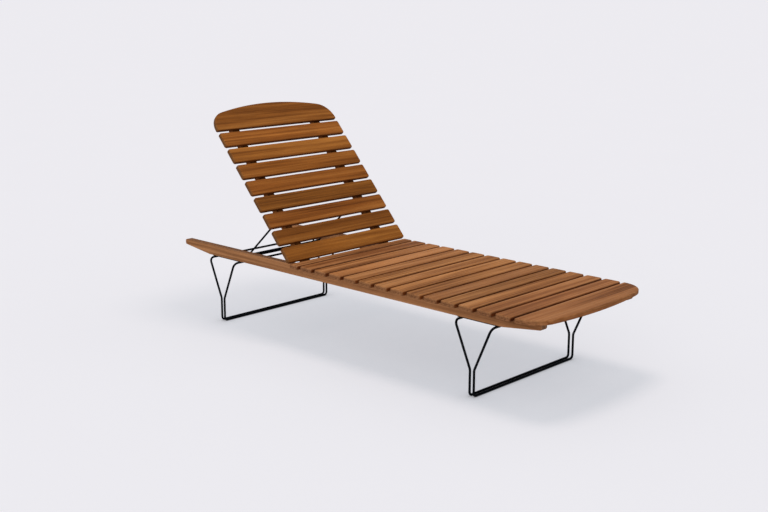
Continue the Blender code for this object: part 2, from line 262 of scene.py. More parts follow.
def painted_gap_shade_group():
    """Painted shade in the gaps: darkens the narrow sides between boards, which face the next board
    across a narrow gap.
    """
    tree, given, result = new_group(
        "painted_gap_shade", "ShaderNodeTree",
        [("Colour", "NodeSocketColor", None), ("Place", "NodeSocketVector", None),
         ("Side", "NodeSocketFloat", 0.0), ("Amount", "NodeSocketFloat", 0.6)],
        [("Colour", "NodeSocketColor")])
    drawn_out = stretched(tree, given.outputs["Place"], 14.0, 60.0, 120.0)
    patches = noise(tree, drawn_out, 1.0, 3.0, 0.6)
    amount = math_of(tree, "MULTIPLY", span(tree, given.outputs["Side"], 0.0, 0.7),
                     given.outputs["Amount"])
    amount = math_of(tree, "MULTIPLY", amount, span(tree, patches, 0.25, 0.75, 0.92, 1.0))
    # The painted shade's colour, multiplied into the wood
    dark = blend_colours(tree, 1.0, given.outputs["Colour"], (0.33, 0.165, 0.055, 1.0), "MULTIPLY")
    tree.links.new(blend_colours(tree, amount, given.outputs["Colour"], dark),
                   result.inputs["Colour"])
    return tree


def edge_wear_and_highlight_group():
    """Lightens and dulls the arrises in patches, where hands and cushions rub; the lightening is
    partly a painted highlight.
    """
    tree, given, result = new_group(
        "edge_wear_and_highlight", "ShaderNodeTree",
        [("Colour", "NodeSocketColor", None), ("Roughness", "NodeSocketFloat", 0.5),
         ("Place", "NodeSocketVector", None), ("Edge", "NodeSocketFloat", 0.0),
         ("Worn And Highlight Colour", "NodeSocketColor", None), ("Amount", "NodeSocketFloat", 0.5)],
        [("Colour", "NodeSocketColor"), ("Roughness", "NodeSocketFloat")])
    drawn_out = stretched(tree, given.outputs["Place"], 22.0, 160.0, 160.0)
    patches = noise(tree, drawn_out, 1.0, 3.0, 0.65)
    # Mask of rubbed arrises and of the painted highlight along them
    worn_and_highlight_mask = math_of(tree, "MULTIPLY", given.outputs["Edge"], span(tree, patches, 0.36, 0.62))
    worn_and_highlight_mask = math_of(tree, "MULTIPLY", worn_and_highlight_mask, given.outputs["Amount"])
    tree.links.new(blend_colours(tree, worn_and_highlight_mask, given.outputs["Colour"], given.outputs["Worn And Highlight Colour"]),
                   result.inputs["Colour"])
    duller = math_of(tree, "MULTIPLY", worn_and_highlight_mask, 0.15)
    tree.links.new(math_of(tree, "ADD", given.outputs["Roughness"], duller),
                   result.inputs["Roughness"])
    return tree


def coated_steel_group():
    """Powder coat: a fine orange-peel skin, patchy sheen and a little dust."""
    tree, given, result = new_group(
        "coated_steel", "ShaderNodeTree",
        [("Place", "NodeSocketVector", None), ("Colour", "NodeSocketColor", None),
         ("Dust Colour", "NodeSocketColor", None), ("Sheen", "NodeSocketFloat", 0.4)],
        [("Colour", "NodeSocketColor"), ("Roughness", "NodeSocketFloat"),
         ("Height", "NodeSocketFloat")])
    peel = noise(tree, given.outputs["Place"], 900.0, 2.0, 0.5)
    patches = noise(tree, given.outputs["Place"], 24.0, 4.0, 0.6)
    dust = span(tree, noise(tree, given.outputs["Place"], 70.0, 5.0, 0.7), 0.56, 0.80, 0.0, 0.35)
    tree.links.new(blend_colours(tree, dust, given.outputs["Colour"], given.outputs["Dust Colour"]),
                   result.inputs["Colour"])
    rough = math_of(tree, "ADD", given.outputs["Sheen"], span(tree, patches, 0.3, 0.7, -0.06, 0.08))
    tree.links.new(math_of(tree, "ADD", rough, math_of(tree, "MULTIPLY", dust, 0.4)),
                   result.inputs["Roughness"])
    tree.links.new(peel, result.inputs["Height"])
    return tree


wood_grain = wood_grain_group()
end_grain = end_grain_group()
painted_gap_shade = painted_gap_shade_group()
edge_wear_and_highlight = edge_wear_and_highlight_group()
coated_steel = coated_steel_group()


def new_material(name):
    """A material with its node tree, its Principled shader and nothing else."""
    made = bpy.data.materials.new(name)
    made.use_nodes = True
    return made, made.node_tree, made.node_tree.nodes["Principled BSDF"]


def placed_group(tree, group, inputs):
    """One use of a shader group."""
    return node(tree, "ShaderNodeGroup", inputs, node_tree=group)


def wood(name, light, middle, dark, cut_colour, worn_and_highlight_colour, figure, wear_and_highlight_amount, painted_gap_shade_amount):
    """A hardwood board that reads its own place, number, ends and edges from its attributes."""
    made, tree, shader = new_material(name)

    def marked(attribute, output="Fac"):
        """What the board's mesh carries under this name."""
        return node(tree, "ShaderNodeAttribute", attribute_name=attribute).outputs[output]

    place = marked("board_place", "Vector")
    board = marked("board")
    end = marked("board_end")
    edge = marked("board_edge")
    side = marked("board_painted_gap_shade")
    grain = placed_group(tree, wood_grain, {"Place": place, "Board": board, "Light": light,
                                            "Middle": middle, "Dark": dark, "Figure": figure})
    ends = placed_group(tree, end_grain, {"Colour": grain.outputs["Colour"], "Place": place,
                                          "End": end, "Cut Colour": cut_colour})
    # Painted shade on the sides between boards
    sides = placed_group(tree, painted_gap_shade, {"Colour": ends.outputs["Colour"], "Place": place,
                                             "Side": side, "Amount": painted_gap_shade_amount})
    edges = placed_group(tree, edge_wear_and_highlight, {"Colour": sides.outputs["Colour"],
                                           "Roughness": grain.outputs["Roughness"],
                                           "Place": place, "Edge": edge,
                                           "Worn And Highlight Colour": worn_and_highlight_colour, "Amount": wear_and_highlight_amount})
    tree.links.new(edges.outputs["Colour"], shader.inputs["Base Color"])
    tree.links.new(edges.outputs["Roughness"], shader.inputs["Roughness"])
    bump = node(tree, "ShaderNodeBump", {"Strength": 0.35, "Distance": 0.0004,
                                         "Height": grain.outputs["Height"]})
    tree.links.new(bump.outputs["Normal"], shader.inputs["Normal"])
    shader.inputs["Specular IOR Level"].default_value = 0.06
    return made


def coated(name, colour, dust_colour, sheen):
    """Black powder-coated steel."""
    made, tree, shader = new_material(name)
    place = node(tree, "ShaderNodeTexCoord").outputs["Object"]
    coat = placed_group(tree, coated_steel, {"Place": place, "Colour": colour,
                                             "Dust Colour": dust_colour, "Sheen": sheen})
    tree.links.new(coat.outputs["Colour"], shader.inputs["Base Color"])
    tree.links.new(coat.outputs["Roughness"], shader.inputs["Roughness"])
    bump = node(tree, "ShaderNodeBump", {"Strength": 0.25, "Distance": 0.0002,
                                         "Height": coat.outputs["Height"]})
    tree.links.new(bump.outputs["Normal"], shader.inputs["Normal"])
    shader.inputs["Specular IOR Level"].default_value = 0.0
    shader.inputs["Coat Weight"].default_value = 0.05
    shader.inputs["Coat Roughness"].default_value = 0.3
    return made


def bare_steel(name):
    """Plain steel of pins, washers and screws, turned in fine rings and slightly dulled."""
    made, tree, shader = new_material(name)
    place = node(tree, "ShaderNodeTexCoord").outputs["Object"]
    fine = noise(tree, stretched(tree, place, 2600.0, 1500.0, 1500.0), 1.0, 2.0)
    dull = noise(tree, place, 240.0, 4.0, 0.65)
    tree.links.new(blend_colours(tree, span(tree, dull, 0.35, 0.70, 0.0, 0.8),
                                 (0.45, 0.45, 0.46, 1.0), (0.22, 0.21, 0.20, 1.0)),
                   shader.inputs["Base Color"])
    tree.links.new(span(tree, dull, 0.3, 0.7, 0.26, 0.50), shader.inputs["Roughness"])
    bump = node(tree, "ShaderNodeBump", {"Strength": 0.2, "Distance": 0.0001, "Height": fine})
    tree.links.new(bump.outputs["Normal"], shader.inputs["Normal"])
    shader.inputs["Metallic"].default_value = 1.0
    return made


seat_wood = wood(
    "seat_wood", light=(0.430, 0.185, 0.068, 1.0), middle=(0.325, 0.124, 0.038, 1.0),
    dark=(0.160, 0.052, 0.013, 1.0), cut_colour=(0.290, 0.128, 0.058, 1.0),
    worn_and_highlight_colour=(0.460, 0.230, 0.100, 1.0), figure=1.6, wear_and_highlight_amount=0.25, painted_gap_shade_amount=1.0)
# Painted shade: the back slats' wood is a darker, more orange copy of the seat wood, standing in
# for the shade on their front
back_wood = wood(
    "back_wood", light=(0.325, 0.118, 0.0225, 1.0), middle=(0.226, 0.072, 0.0107, 1.0),
    dark=(0.110, 0.030, 0.003, 1.0), cut_colour=(0.180, 0.085, 0.030, 1.0),
    worn_and_highlight_colour=(0.290, 0.120, 0.038, 1.0), figure=1.15, wear_and_highlight_amount=0.20, painted_gap_shade_amount=0.75)
rail_wood = wood(
    "rail_wood", light=(0.540, 0.253, 0.110, 1.0), middle=(0.428, 0.189, 0.078, 1.0),
    dark=(0.260, 0.107, 0.041, 1.0), cut_colour=(0.330, 0.170, 0.085, 1.0),
    worn_and_highlight_colour=(0.540, 0.300, 0.160, 1.0), figure=1.35, wear_and_highlight_amount=0.3, painted_gap_shade_amount=0.3)
# Painted shade: the battens' wood is a much darker copy of the rail wood, standing in for the shade
# behind the slats
batten_wood_in_painted_shade = wood(
    "batten_wood_in_painted_shade", light=(0.230, 0.085, 0.020, 1.0), middle=(0.150, 0.048, 0.009, 1.0),
    dark=(0.080, 0.022, 0.004, 1.0), cut_colour=(0.120, 0.060, 0.025, 1.0),
    worn_and_highlight_colour=(0.240, 0.110, 0.040, 1.0), figure=1.1, wear_and_highlight_amount=0.2, painted_gap_shade_amount=0.5)
black_steel = coated("black_steel", colour=(0.0038, 0.0048, 0.0066, 1.0),
                     dust_colour=(0.012, 0.012, 0.013, 1.0), sheen=0.45)
plain_steel = bare_steel("plain_steel")


# Geometry Nodes trees


def add_modifier(piece, tree, values):
    """Puts a tree on a piece and sets its named inputs by their identifiers."""
    modifier = piece.modifiers.new(tree.name, "NODES")
    modifier.node_group = tree
    by_name = {item.name: item.identifier for item in tree.interface.items_tree
               if item.item_type == "SOCKET" and item.in_out == "INPUT"}
    for name, value in values.items():
        modifier[by_name[name]] = value


def as_plain_mesh(piece):
    """Applies a piece's modifiers, and leaves a plain mesh."""
    bpy.context.view_layer.update()
    finished = piece.evaluated_get(bpy.context.evaluated_depsgraph_get())
    made = bpy.data.meshes.new_from_object(finished)
    piece.modifiers.clear()
    piece.data = made


def end_tree(tree, given, result, geometry):
    """Ends a Geometry Nodes tree with real geometry in the material that it is given."""
    real = node(tree, "GeometryNodeRealizeInstances", {"Geometry": geometry})
    finished = node(tree, "GeometryNodeSetMaterial",
                    {"Geometry": real.outputs[0], "Material": given.outputs["Material"]})
    tree.links.new(finished.outputs[0], result.inputs[0])


def board_row_tree():
    """Repeats one board along a line and gives each copy a number of its own."""
    tree, given, result = new_group(
        "board_row", "GeometryNodeTree",
        [("Geometry", "NodeSocketGeometry", None), ("Count", "NodeSocketInt", 1),
         ("Step", "NodeSocketVector", None), ("Seed", "NodeSocketInt", 0),
         ("Material", "NodeSocketMaterial", None)],
        [("Geometry", "NodeSocketGeometry")])
    line = node(tree, "GeometryNodeMeshLine",
                {"Count": given.outputs["Count"], "Offset": given.outputs["Step"]})
    copies = node(tree, "GeometryNodeInstanceOnPoints",
                  {"Points": line.outputs[0], "Instance": given.outputs["Geometry"]})
    number = node(tree, "FunctionNodeRandomValue", {"Seed": given.outputs["Seed"]})
    numbered = node(tree, "GeometryNodeStoreNamedAttribute",
                    {"Geometry": copies.outputs[0], "Name": "board", "Value": number.outputs[1]},
                    domain="INSTANCE")
    end_tree(tree, given, result, numbered.outputs[0])
    return tree


def bent_rod_tree():
    """A round rod along a run of straight lines, bent to the radius that each corner carries."""
    tree, given, result = new_group(
        "bent_rod", "GeometryNodeTree",
        [("Geometry", "NodeSocketGeometry", None), ("Rod Radius", "NodeSocketFloat", 0.004),
         ("Steps In A Bend", "NodeSocketInt", 10), ("Sides", "NodeSocketInt", 24),
         ("Material", "NodeSocketMaterial", None)],
        [("Geometry", "NodeSocketGeometry")])
    run = node(tree, "GeometryNodeMeshToCurve", {"Mesh": given.outputs["Geometry"]})
    bend_radius = node(tree, "GeometryNodeInputNamedAttribute", {"Name": "bend_radius"},
                       data_type="FLOAT")
    bent = node(tree, "GeometryNodeFilletCurve",
                {"Curve": run.outputs[0], "Radius": bend_radius.outputs[0],
                 "Count": given.outputs["Steps In A Bend"]}, mode="POLY")
    section = node(tree, "GeometryNodeCurvePrimitiveCircle",
                   {"Resolution": given.outputs["Sides"], "Radius": given.outputs["Rod Radius"]})
    rod = node(tree, "GeometryNodeCurveToMesh",
               {"Curve": bent.outputs[0], "Profile Curve": section.outputs[0], "Fill Caps": True})
    end_tree(tree, given, result, rod.outputs[0])
    return tree


def fixing_tree():
    """Puts one screw or weld drop at each point, with a random turn about its own axis."""
    tree, given, result = new_group(
        "fixings", "GeometryNodeTree",
        [("Geometry", "NodeSocketGeometry", None), ("Fixing", "NodeSocketObject", None),
         ("Lean", "NodeSocketRotation", None), ("Least Size", "NodeSocketFloat", 1.0),
         ("Seed", "NodeSocketInt", 0), ("Material", "NodeSocketMaterial", None)],
        [("Geometry", "NodeSocketGeometry")])
    shape = node(tree, "GeometryNodeObjectInfo", {"Object": given.outputs["Fixing"]})
    turn = node(tree, "FunctionNodeRandomValue",
                {0: (0.0, 0.0, 0.0), 1: (0.0, 0.0, 2 * math.pi), "Seed": given.outputs["Seed"]},
                data_type="FLOAT_VECTOR")
    turned = node(tree, "FunctionNodeEulerToRotation", {0: turn.outputs[0]})
    leaned = node(tree, "FunctionNodeRotateRotation",
                  {0: turned.outputs[0], 1: given.outputs["Lean"]}, rotation_space="GLOBAL")
    size = node(tree, "FunctionNodeRandomValue",
                {2: given.outputs["Least Size"], 3: 1.0, "Seed": given.outputs["Seed"]})
    copies = node(tree, "GeometryNodeInstanceOnPoints",
                  {"Points": given.outputs["Geometry"], "Instance": shape.outputs["Geometry"],
                   "Rotation": leaned.outputs[0], "Scale": size.outputs[1]})
    end_tree(tree, given, result, copies.outputs[0])
    return tree


board_row = board_row_tree()
bent_rod = bent_rod_tree()
fixings = fixing_tree()


# Outlines, as points (a, b)


def rounded_outline(corners, steps=6):
    """A closed outline with a round corner at each (a, b, radius)."""
    outline = []
    for index, (a, b, radius) in enumerate(corners):
        corner = Vector((a, b))
        if radius == 0:
            outline.append(corner)
            continue
        to_last = (Vector(corners[index - 1][:2]) - corner).normalized()
        to_next = (Vector(corners[(index + 1) % len(corners)][:2]) - corner).normalized()
        half_angle = to_last.angle(to_next) / 2
        centre = corner + (to_last + to_next).normalized() * radius / math.sin(half_angle)
        start = corner + to_last * radius / math.tan(half_angle) - centre
        sweep = math.pi - 2 * half_angle
        for step in range(steps + 1):
            outline.append(centre + Matrix.Rotation(sweep * step / steps, 2) @ start)
    return outline


def bowed_outline(depth, bow, corner_radius):
    """A slat's outline, straight along b = 0 and bowed along b = depth, with round corners."""
    half = slat_length / 2
    low, high = 0.0, half
    halvings = 50
    for _ in range(halvings):
        touch = (low + high) / 2
        lean = math.atan(2 * bow * touch / half ** 2)
        if touch - corner_radius * math.sin(lean) < half - corner_radius:
            low = touch
        else:
            high = touch
    centre = Vector((half - corner_radius,
                     depth - bow * (touch / half) ** 2 - corner_radius * math.cos(lean)))
    arc_steps = 16
    back_steps = 6
    right_side = []
    for step in range(back_steps):
        turn = math.pi / 2 * (step / back_steps - 1)
        right_side.append(Vector((half - bowed_slat_back_radius * (1 - math.cos(turn)),
                                  bowed_slat_back_radius * (1 + math.sin(turn)))))
    for step in range(arc_steps):
        turn = (math.pi / 2 - lean) * step / arc_steps
        right_side.append(centre + corner_radius * Vector((math.cos(turn), math.sin(turn))))
    bow_steps = 24
    for step in range(bow_steps):
        across = touch * (1 - step / bow_steps)
        right_side.append(Vector((across, depth - bow * (across / half) ** 2)))
    left_side = [Vector((-point.x, point.y)) for point in reversed(right_side)]
    return right_side + [Vector((0.0, depth))] + left_side


def facings(outline):
    """The outward direction at each point of an outline, longer where a corner is sharper."""
    sharpest = 0.2
    out = []
    for index, point in enumerate(outline):
        before = (point - outline[index - 1]).normalized()
        after = (outline[(index + 1) % len(outline)] - point).normalized()
        both = Vector((before.y + after.y, -before.x - after.x))
        out.append(both / max(sharpest, both.length_squared / 2))
    return out


def as_mesh(name, shape):
    """A mesh of a finished shape."""
    mesh = bpy.data.meshes.new(name)
    shape.to_mesh(mesh)
    shape.free()
    return mesh


def board_mesh(name, outline, thickness, arris, bowed=False):
    """A board from c = 0 down to -thickness, with round arrises, and with its grain, its rubbed and
    highlit arrises and its painted gap shade marked.
    """
    arris_steps = 5
    rim = 0.0012
    least_wear_and_highlight = 0.3
    rings = [(arris + rim, 0.0, 0.0)]
    for step in range(arris_steps + 1):
        # The edge mark, rubbed edge and painted highlight, is strongest halfway round each arris
        turn = math.pi / 2 * step / arris_steps
        rings.append((arris * (1 - math.sin(turn)), -arris * (1 - math.cos(turn)),
                      math.sin(2 * turn) * (1 - least_wear_and_highlight) + least_wear_and_highlight))
    side_rim = min(rim, thickness / 2 - arris)
    rings.append((0.0, -arris - side_rim, 0.0))
    rings += [(inset, -thickness - level, edge) for inset, level, edge in reversed(rings)]

    shape = bmesh.new()
    edge_layer = shape.verts.layers.float.new("board_edge")
    end_layer = shape.verts.layers.float.new("board_end")
    painted_gap_shade_layer = shape.verts.layers.float.new("board_painted_gap_shade")
    place_layer = shape.verts.layers.float_vector.new("board_place")
    out = facings(outline)
    loops = []
    for inset, level, edge in rings:
        # Painted gap shade: the upper arris gets darker towards the side, and the lower one lighter
        # towards below
        if level > -arris:
            shade = -level / arris
        else:
            shade = max(0.0, 1.0 - 1.4 * inset / arris)
        loop = []
        for point, away in zip(outline, out):
            corner = shape.verts.new((*(point - away * inset), level))
            corner[edge_layer] = edge
            corner[place_layer] = corner.co
            # 1 where the outline is cut across the grain, and 0 where it runs along it
            cut_across = min(1.0, max(0.0, 2.0 * abs(away.normalized().x) - 0.9))
            corner[end_layer] = cut_across * max(0.0, 1.0 - inset / arris)
            # The bowed edge has no board beside it, and gets no painted gap shade
            if not bowed or point.y < arris:
                corner[painted_gap_shade_layer] = (1.0 - cut_across) * shade
            loop.append(corner)
        loops.append(loop)
    for upper, lower in zip(loops, loops[1:]):
        for index in range(len(upper)):
            after = (index + 1) % len(upper)
            shape.faces.new((upper[after], upper[index], lower[index], lower[after]))
    shape.faces.new(loops[0])
    shape.faces.new(loops[-1])
    bmesh.ops.triangulate(shape, faces=[face for face in shape.faces if len(face.verts) > 4])
    bmesh.ops.recalc_face_normals(shape, faces=shape.faces)
    for face in shape.faces:
        face.smooth = True
    return as_mesh(name, shape)


def show(name, mesh):
    """Links a new object to the scene."""
    piece = bpy.data.objects.new(name, mesh)
    bpy.context.scene.collection.objects.link(piece)
    return piece


def finish_piece(piece, body, nodes=()):
    """Fixes a finished piece to its body, and hides the CAD nodes that it stands for."""
    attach(piece, body)
    if nodes:
        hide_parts(*nodes)


def boards(name, mesh, place, turn, count, step, seed, surface, body, nodes):
    """A row of equal boards, made flat, turned, put in place and repeated."""
    mesh.transform(Matrix.Translation(place) @ turn)
    piece = show(name, mesh)
    add_modifier(piece, board_row, {"Count": count, "Step": tuple(step), "Seed": seed,
                                    "Material": surface})
    even = piece.modifiers.new("even_shading", "WEIGHTED_NORMAL")
    even.mode = "FACE_AREA"
    even.weight = 80
    as_plain_mesh(piece)
    finish_piece(piece, body, nodes)


# Directions of boards: as they lie, leaned back with the backrest, and on edge along the rails
flat = Matrix.Identity(4)
leaned = Matrix.Rotation(back_lean, 4, "X")
on_edge = Euler((math.pi / 2, 0, math.pi / 2)).to_matrix().to_4x4()


def on_back(x, u, w):
    """A point of the backrest as it stands at rest."""
    return hinge + Vector((x, u * math.cos(back_lean) - w * math.sin(back_lean),
                           u * math.sin(back_lean) + w * math.cos(back_lean)))


def slat_outline(width):
    """A straight slat's outline, with its foot edge at b = 0."""
    half = slat_length / 2
    return rounded_outline([(-half, 0, slat_corner_radius), (half, 0, slat_corner_radius),
                            (half, width, slat_corner_radius), (-half, width, slat_corner_radius)])


# Seat
no_step = (0, 0, 0)
boards("seat_slats",
       board_mesh("seat_slats", slat_outline(slat_width), slat_thickness, slat_arris),
       Vector((0, last_straight_slat_y, seat_height)), flat, count=straight_seat_slats,
       step=(0, slat_pitch, 0), seed=279, surface=seat_wood, body="frame",
       nodes=[f"seat_slat_{number:02d}" for number in range(2, 15)])
boards("hinge_slat",
       board_mesh("hinge_slat", slat_outline(hinge_slat_width), slat_thickness, slat_arris),
       Vector((0, hinge_slat_y, seat_height)), flat, count=1, step=no_step, seed=1,
       surface=seat_wood, body="frame", nodes=["seat_slat_01"])
boards("foot_slat",
       board_mesh("foot_slat", bowed_outline(foot_slat_depth, foot_bow, foot_corner_radius),
                  slat_thickness, slat_arris, bowed=True),
       Vector((0, foot_slat_edge_y, seat_height)), Matrix.Rotation(math.pi, 4, "Z"), count=1,
       step=no_step, seed=7, surface=seat_wood, body="frame",
       nodes=["seat_slat_15"])

# Rails
rail_outline = rounded_outline([
    (rail_foot_y, rail_top_z - rail_nose_depth, rail_nose_radius),
    (rail_foot_y + rail_foot_taper, rail_bottom_z, rail_nose_radius),
    (rail_head_y - rail_head_taper, rail_bottom_z, rail_nose_radius),
    (rail_head_y, rail_top_z - rail_nose_depth, rail_nose_radius),
    (rail_head_y, rail_top_z, rail_nose_radius),
    (rail_foot_y, rail_top_z, rail_nose_radius),
])
boards("side_rails", board_mesh("side_rails", rail_outline, rail_thickness, rail_arris),
       Vector((rail_thickness - rail_outer_x, 0, 0)), on_edge, count=2,
       step=(2 * rail_outer_x - rail_thickness, 0, 0), seed=21, surface=rail_wood, body="frame",
       nodes=["right_rail", "left_rail"])

# Backrest
back_step = on_back(0, slat_pitch, 0) - on_back(0, 0, 0)
boards("back_slats",
       board_mesh("back_slats", slat_outline(slat_width), slat_thickness, slat_arris),
       on_back(0, first_back_slat_u, back_front_w), leaned, count=straight_back_slats,
       step=back_step, seed=396, surface=back_wood, body="backrest",
       nodes=[f"back_slat_{number:02d}" for number in range(2, 10)])
boards("head_slat",
       board_mesh("head_slat", bowed_outline(head_slat_depth, head_bow, head_corner_radius),
                  slat_thickness, slat_arris, bowed=True),
       on_back(0, head_slat_u, back_front_w), leaned, count=1, step=no_step, seed=2,
       surface=back_wood, body="backrest", nodes=["back_slat_01"])
half_batten = batten_thickness / 2
round_steps = 16
batten_outline = [Vector((batten_head_u, half_batten))]
for step in range(round_steps + 1):
    round_turn = math.pi / 2 + math.pi * step / round_steps
    batten_outline.append(half_batten * Vector((math.cos(round_turn), math.sin(round_turn))))
batten_outline.append(Vector((batten_head_u, -half_batten)))
boards("back_battens", board_mesh("back_battens", batten_outline, batten_width, rail_arris),
       on_back(-batten_inner_x, 0, 0), leaned @ on_edge, count=2,
       step=(2 * batten_inner_x + batten_width, 0, 0), seed=33, surface=batten_wood_in_painted_shade,
       body="backrest", nodes=["back_batten_right", "back_batten_left"])


# Rods


def smooth_up_to(piece, degrees):
    """Shades a piece smooth, with creases at the edges that are sharper than this."""
    piece.data.shade_smooth()
    piece.data.set_sharp_from_angle(angle=math.radians(degrees))


def rod(name, corners, radius, closed, body, nodes):
    """A round rod of this radius through corners given as (point, bend radius)."""
    mesh = bpy.data.meshes.new(name)
    last = len(corners)
    edges = [(index, index + 1) for index in range(last - 1)]
    if closed:
        edges.append((last - 1, 0))
    mesh.from_pydata([point for point, _ in corners], edges, [])
    bends = mesh.attributes.new("bend_radius", "FLOAT", "POINT")
    bends.data.foreach_set("value", [bend for _, bend in corners])
    piece = show(name, mesh)
    add_modifier(piece, bent_rod, {"Rod Radius": radius, "Material": black_steel})
    as_plain_mesh(piece)
    smooth_up_to(piece, 50)
    finish_piece(piece, body, nodes)


for end, leg_y in (("rear", rear_leg_y), ("front", front_leg_y)):
    for side, sign in (("back", 1), ("front", -1)):
        pair_y = leg_y + sign * leg_half_pair
        spread_y = leg_y + sign * leg_half_spread
        rod(f"{end}_hoop_{side}", [
            ((-leg_x, pair_y, hoop_radius), leg_floor_radius),
            ((leg_x, pair_y, hoop_radius), leg_floor_radius),
            ((leg_x, pair_y, leg_kink_height), leg_kink_radius),
            ((leg_x, spread_y, leg_crossbar_z), leg_top_radius),
            ((-leg_x, spread_y, leg_crossbar_z), leg_top_radius),
            ((-leg_x, pair_y, leg_kink_height), leg_kink_radius),
        ], hoop_radius, True, "frame", [f"{end}_leg_hoop_{side}"])

rod("catch_bar", [
    ((-catch_half_length, catch_y, catch_z), 0),
    ((catch_half_length, catch_y, catch_z), 0),
], rod_radius, False, "frame", ["catch_rod"])

prop_pivot = on_back(0, prop_pivot_u, 0)
prop_foot = prop_pivot + prop_length * Vector((0, math.cos(prop_slope), -math.sin(prop_slope)))
across = Vector((1, 0, 0))
rod("prop_hoop", [
    (prop_pivot - prop_end_x * across, 0),
    (prop_pivot - prop_x * across, prop_shoulder_radius),
    (prop_foot - prop_x * across, prop_corner_radius),
    (prop_foot + prop_x * across, prop_corner_radius),
    (prop_pivot + prop_x * across, prop_shoulder_radius),
    (prop_pivot + prop_end_x * across, 0),
], rod_radius, False, "prop", ["prop_bail"])

# Screw heads under rails and battens, and weld seams, which the CAD doesn't have


def screw_head():
    """A flat round head with a hexagon socket, which looks along +Z."""
    sides = 24
    head_radius = 0.0040
    chamfer = 0.0004
    rise = 0.0006
    socket_apothem = 0.0014
    rings = [(None, -rise), (None, rise), (head_radius - chamfer, rise),
             (head_radius, rise - chamfer), (head_radius, -rise)]
    shape = bmesh.new()
    loops = []
    for radius, level in rings:
        loop = []
        for side in range(sides):
            turn = math.tau * side / sides
            to_flat = turn % (math.pi / 3) - math.pi / 6
            reach = radius or socket_apothem / math.cos(to_flat)
            loop.append(shape.verts.new((reach * math.cos(turn), reach * math.sin(turn), level)))
        loops.append(loop)
    for inner, outer in zip(loops, loops[1:]):
        for side in range(sides):
            after = (side + 1) % sides
            shape.faces.new((inner[side], outer[side], outer[after], inner[after]))
    shape.faces.new(loops[0])
    shape.faces.new(reversed(loops[-1]))
    bmesh.ops.recalc_face_normals(shape, faces=shape.faces)
    return show("screw_head", as_mesh("screw_head", shape))


def weld_drop():
    """One flattened drop of a weld seam."""
    drop_radius = 0.0017
    flattened = Matrix.Diagonal((1.0, 1.0, 0.8, 1.0))
    shape = bmesh.new()
    bmesh.ops.create_icosphere(shape, subdivisions=2, radius=drop_radius, matrix=flattened)
    return show("weld_drop", as_mesh("weld_drop", shape))


def fixings_at(name, one, points, lean, least_size, seed, surface, body):
    """A screw head or a weld drop at each point, as one piece that stands for no CAD node."""
    mesh = bpy.data.meshes.new(name)
    mesh.from_pydata(points, [], [])
    piece = show(name, mesh)
    add_modifier(piece, fixings, {"Fixing": one, "Lean": lean, "Least Size": least_size,
                                  "Seed": seed, "Material": surface})
    as_plain_mesh(piece)
    smooth_up_to(piece, 40)
    finish_piece(piece, body)


screw = screw_head()
drop = weld_drop()
plates = [(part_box(f"{end}_leg_plate_{side}"), leg_y)
          for end, leg_y in (("rear", rear_leg_y), ("front", front_leg_y))
          for side in ("right", "left")]

# One screw for each seat slat in each rail, where neither taper nor leg plate is in the way
clear_of_taper = 0.01
clear_of_plate = 0.006
rail_middle_x = rail_outer_x - rail_thickness / 2
slat_middles = [last_straight_slat_y + slat_width / 2 + number * slat_pitch
                for number in range(straight_seat_slats)]
slat_middles.append(hinge_slat_y + hinge_slat_width / 2)
rail_screws = [Vector((side * rail_middle_x, y, rail_bottom_z))
               for y in slat_middles for side in (-1, 1)
               if y > rail_foot_y + rail_foot_taper + clear_of_taper
               and not any(box[0].y - clear_of_plate < y < box[1].y + clear_of_plate
                           for box, _ in plates)]
fixings_at("rail_screws", screw, rail_screws, lean=(math.pi, 0, 0), least_size=1.0, seed=2,
           surface=plain_steel, body="frame")

# One screw for each back slat in each batten
batten_middle_x = batten_inner_x + batten_width / 2
back_middles = [first_back_slat_u + slat_width / 2 + number * slat_pitch
                for number in range(straight_back_slats)]
back_middles.append(head_slat_u + slat_width / 2)
batten_screws = [on_back(side * batten_middle_x, u, -batten_thickness / 2)
                 for side in (-1, 1) for u in back_middles]
fixings_at("batten_screws", screw, batten_screws, lean=(math.pi + back_lean, 0, 0), least_size=1.0,
           seed=6, surface=plain_steel, body="backrest")

# A seam on both sides of each crossbar, under each leg plate
weld_step = 0.0022
weld_offset = 0.0034
weld_start = 0.003
weld_ends = 0.004
weld_drop_depth = 0.0009
welds = []
for box, leg_y in plates:
    for sign in (-1, 1):
        for edge in (-1, 1):
            for number in range(int((box[1].x - box[0].x - weld_ends) / weld_step)):
                welds.append((box[0].x + weld_start + number * weld_step,
                              leg_y + sign * leg_half_spread + edge * weld_offset,
                              plate_bottom_z - weld_drop_depth))
fixings_at("weld_seams", drop, welds, lean=(0, 0, 0), least_size=0.75, seed=9,
           surface=black_steel, body="frame")
for template in (screw, drop):
    bpy.data.objects.remove(template)

# CAD nodes that keep their shape
for name, piece in frame["nodes"].items():
    if "plate_screw" in name or name.startswith("pivot_"):
        surface = plain_steel
    elif "leg_plate" in name:
        surface = black_steel
    else:
        continue
    for place in piece.material_slots:
        place.material = surface


# Floor, light and camera
overhead_place = (0.0, -0.35, 3.0)


